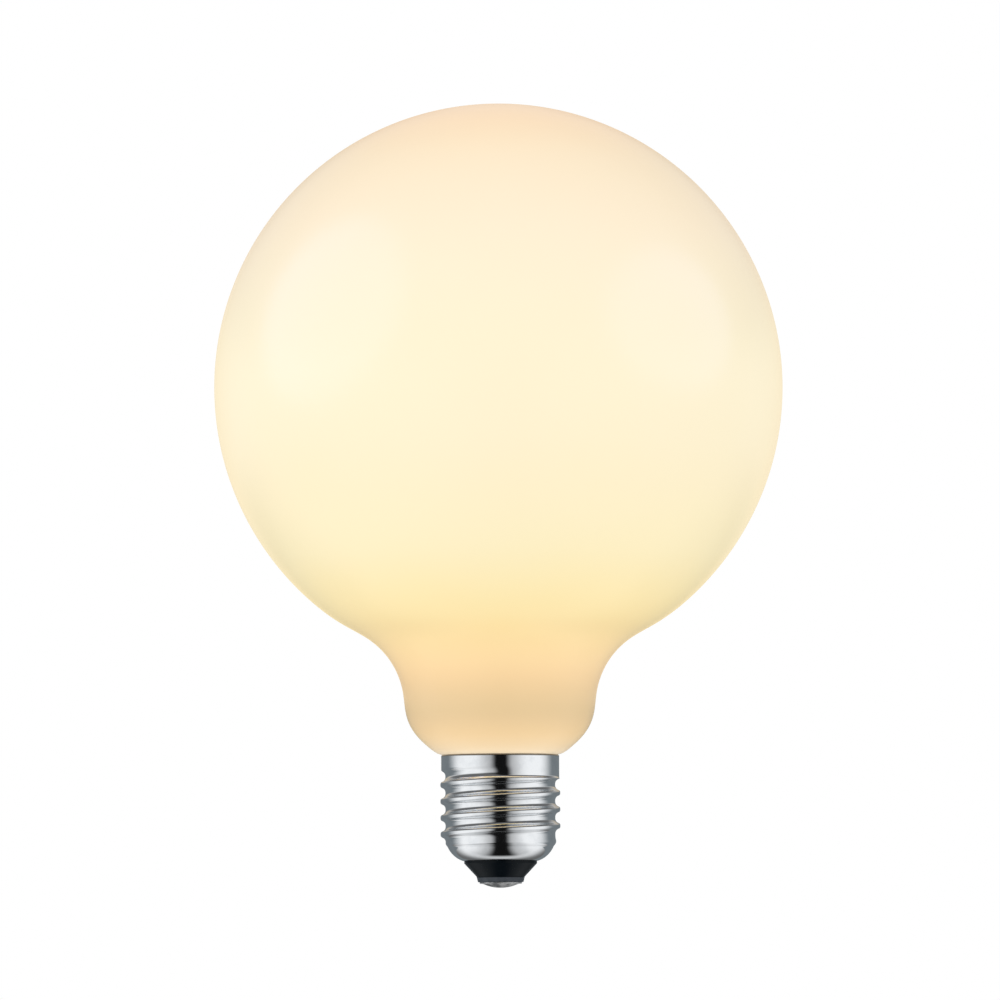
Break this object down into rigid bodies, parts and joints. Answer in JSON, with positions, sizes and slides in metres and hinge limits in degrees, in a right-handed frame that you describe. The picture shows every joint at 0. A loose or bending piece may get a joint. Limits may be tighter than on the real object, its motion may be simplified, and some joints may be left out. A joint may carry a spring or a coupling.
{
  "type": "globe bulb",
  "caption": "Globe light bulb: an opal glass sphere on a short waisted neck, closed by a metal screw cap with a centre contact.",
  "frame": {"origin": "tip of the centre contact, the lowest point, on the axis of the lamp", "axes": "+Z along the axis from the cap to the crown of the globe; -Y is the side that the picture shows; +X is the picture's right"},
  "size_m": [0.125, 0.125, 0.1724],
  "materials": {
    "opal_glass": "glossy opal, warm white, opaque",
    "nickel": "bright nickel plate",
    "black_insulator": "glossy black moulding",
    "contact_metal": "dull tinned metal"
  },
  "bodies": {
    "root": {"opal_globe": "opal_glass", "screw_shell": "nickel", "insulator": "black_insulator", "centre_contact": "contact_metal"}
  },
  "joints": []
}
